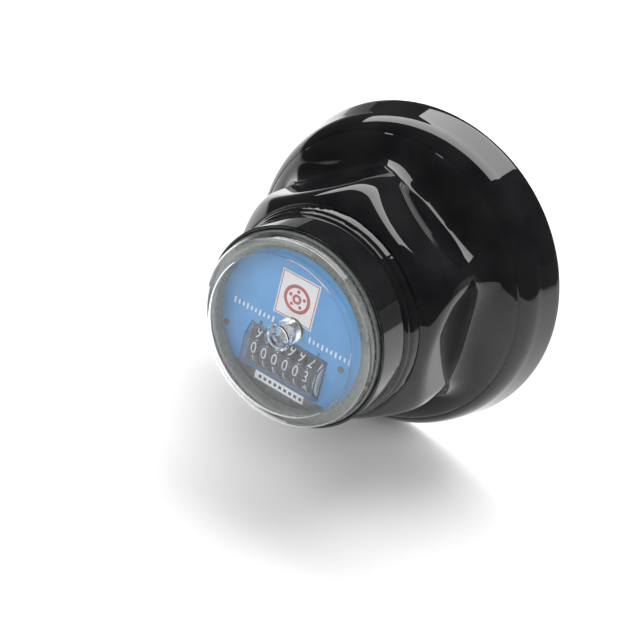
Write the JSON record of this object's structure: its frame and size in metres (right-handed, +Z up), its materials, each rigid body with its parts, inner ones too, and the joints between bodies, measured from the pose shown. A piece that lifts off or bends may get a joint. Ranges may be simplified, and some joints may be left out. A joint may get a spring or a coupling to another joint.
{
  "type": "trailer hub distance recorder in a screw-on hub cap",
  "caption": "Painted steel screw-on hub cap with a wrench hexagon, and a sealed distance recorder with pendulum dial, window cover and number wheels in its nose.",
  "frame": {"origin": "centre of the cap's open rear face, on the cap's axis, at the mouth of the internal thread", "axes": "+Y along the cap's axis out of its open rear, so the dial in the nose faces -Y, +Z up as the dial hangs, +X to the right of a reader facing the dial"},
  "size_m": [0.15, 0.1045, 0.15],
  "materials": {
    "black_paint": "glossy black paint",
    "rubber": "matte black rubber",
    "zinc": "satin grey die-cast zinc",
    "clear_plastic": "clear moulded plastic",
    "window_plastic": "clear moulded plastic",
    "steel": "bright machined steel",
    "brass": "machined brass",
    "frame_metal": "satin sheet metal",
    "weight_metal": "grey cast metal",
    "dial_blue": "light blue printed sheet",
    "white_label": "white label",
    "digit_black": "dark moulded plastic with white digits",
    "gear_plastic": "white moulded plastic",
    "grey_rubber": "matte grey rubber"
  },
  "bodies": {
    "cap": {"hub_cap": "black_paint", "cap_seal_ring": "rubber", "collar_cup": "black_paint", "weld_bead": "black_paint", "meter_housing": "zinc", "case_o_ring": "rubber", "bezel_ring": "zinc", "lens_gasket": "grey_rubber", "lens": "clear_plastic", "axle": "steel", "drive_worm": "brass", "axle_circlip": "steel", "lock_washer": "steel", "retaining_nut": "steel"},
    "pendulum": {"front_plate": "frame_metal", "rear_plate": "frame_metal", "left_cheek": "frame_metal", "right_cheek": "frame_metal", "frame_pillars": "steel", "front_bush": "brass", "rear_bush": "brass", "pendulum_weight": "weight_metal", "weight_screws": "steel", "dial_plate": "dial_blue", "dial_rivets": "steel", "window_cover": "window_plastic", "counter_label": "white_label", "counter_shaft": "steel", "counter_spacers": "brass", "carry_shaft": "steel", "carry_spacers": "brass", "second_stud": "steel", "third_stud": "steel"},
    "worm_shaft": {"worm_shaft": "steel", "worm_wheel": "brass", "first_pinion": "brass"},
    "second_gear": {"second_gear": "gear_plastic"},
    "third_gear": {"third_gear": "gear_plastic"},
    "wheel_1": {"number_wheel_1": "digit_black", "units_gear": "gear_plastic"},
    "wheel_2": {"number_wheel_2": "digit_black"},
    "wheel_3": {"number_wheel_3": "digit_black"},
    "wheel_4": {"number_wheel_4": "digit_black"},
    "wheel_5": {"number_wheel_5": "digit_black"},
    "wheel_6": {"number_wheel_6": "digit_black"},
    "pinion_1": {"carry_pinion_1": "gear_plastic"},
    "pinion_2": {"carry_pinion_2": "gear_plastic"},
    "pinion_3": {"carry_pinion_3": "gear_plastic"},
    "pinion_4": {"carry_pinion_4": "gear_plastic"},
    "pinion_5": {"carry_pinion_5": "gear_plastic"}
  },
  "joints": [
    {"name": "pendulum_spin", "type": "hinge", "parent": "cap", "child": "pendulum", "pos_m": [0, 0, 0], "axis": [0, 1, 0], "continuous": true},
    {"name": "worm_shaft_spin", "type": "hinge", "parent": "pendulum", "child": "worm_shaft", "pos_m": [0, -0.061, -0.0122], "axis": [1, 0, 0], "continuous": true},
    {"name": "second_gear_spin", "type": "hinge", "parent": "pendulum", "child": "second_gear", "pos_m": [0, -0.07187, -0.00711], "axis": [1, 0, 0], "continuous": true},
    {"name": "third_gear_spin", "type": "hinge", "parent": "pendulum", "child": "third_gear", "pos_m": [0, -0.07191, -0.01911], "axis": [1, 0, 0], "continuous": true},
    {"name": "wheel_1_spin", "type": "hinge", "parent": "pendulum", "child": "wheel_1", "pos_m": [0, -0.0835, -0.016], "axis": [1, 0, 0], "continuous": true},
    {"name": "wheel_2_spin", "type": "hinge", "parent": "pendulum", "child": "wheel_2", "pos_m": [0, -0.0835, -0.016], "axis": [1, 0, 0], "continuous": true},
    {"name": "wheel_3_spin", "type": "hinge", "parent": "pendulum", "child": "wheel_3", "pos_m": [0, -0.0835, -0.016], "axis": [1, 0, 0], "continuous": true},
    {"name": "wheel_4_spin", "type": "hinge", "parent": "pendulum", "child": "wheel_4", "pos_m": [0, -0.0835, -0.016], "axis": [1, 0, 0], "continuous": true},
    {"name": "wheel_5_spin", "type": "hinge", "parent": "pendulum", "child": "wheel_5", "pos_m": [0, -0.0835, -0.016], "axis": [1, 0, 0], "continuous": true},
    {"name": "wheel_6_spin", "type": "hinge", "parent": "pendulum", "child": "wheel_6", "pos_m": [0, -0.0835, -0.016], "axis": [1, 0, 0], "continuous": true},
    {"name": "pinion_1_spin", "type": "hinge", "parent": "pendulum", "child": "pinion_1", "pos_m": [0, -0.08176, -0.02836], "axis": [1, 0, 0], "continuous": true},
    {"name": "pinion_2_spin", "type": "hinge", "parent": "pendulum", "child": "pinion_2", "pos_m": [0, -0.08176, -0.02836], "axis": [1, 0, 0], "continuous": true},
    {"name": "pinion_3_spin", "type": "hinge", "parent": "pendulum", "child": "pinion_3", "pos_m": [0, -0.08176, -0.02836], "axis": [1, 0, 0], "continuous": true},
    {"name": "pinion_4_spin", "type": "hinge", "parent": "pendulum", "child": "pinion_4", "pos_m": [0, -0.08176, -0.02836], "axis": [1, 0, 0], "continuous": true},
    {"name": "pinion_5_spin", "type": "hinge", "parent": "pendulum", "child": "pinion_5", "pos_m": [0, -0.08176, -0.02836], "axis": [1, 0, 0], "continuous": true}
  ],
  "couplings": [
    {"joint": "worm_shaft_spin", "follows": "pendulum_spin", "ratio": -0.04},
    {"joint": "second_gear_spin", "follows": "pendulum_spin", "ratio": 0.008},
    {"joint": "third_gear_spin", "follows": "pendulum_spin", "ratio": -0.0016},
    {"joint": "wheel_1_spin", "follows": "pendulum_spin", "ratio": 0.00032},
    {"joint": "wheel_2_spin", "follows": "pendulum_spin", "ratio": 0.000032},
    {"joint": "wheel_3_spin", "follows": "pendulum_spin", "ratio": 0.0000032},
    {"joint": "wheel_4_spin", "follows": "pendulum_spin", "ratio": 0.00000032},
    {"joint": "wheel_5_spin", "follows": "pendulum_spin", "ratio": 0.000000032},
    {"joint": "wheel_6_spin", "follows": "pendulum_spin", "ratio": 0.0000000032},
    {"joint": "pinion_1_spin", "follows": "pendulum_spin", "ratio": -0.00010667},
    {"joint": "pinion_2_spin", "follows": "pendulum_spin", "ratio": -0.000010667},
    {"joint": "pinion_3_spin", "follows": "pendulum_spin", "ratio": -0.0000010667},
    {"joint": "pinion_4_spin", "follows": "pendulum_spin", "ratio": -0.00000010667},
    {"joint": "pinion_5_spin", "follows": "pendulum_spin", "ratio": -0.000000010667}
  ]
}
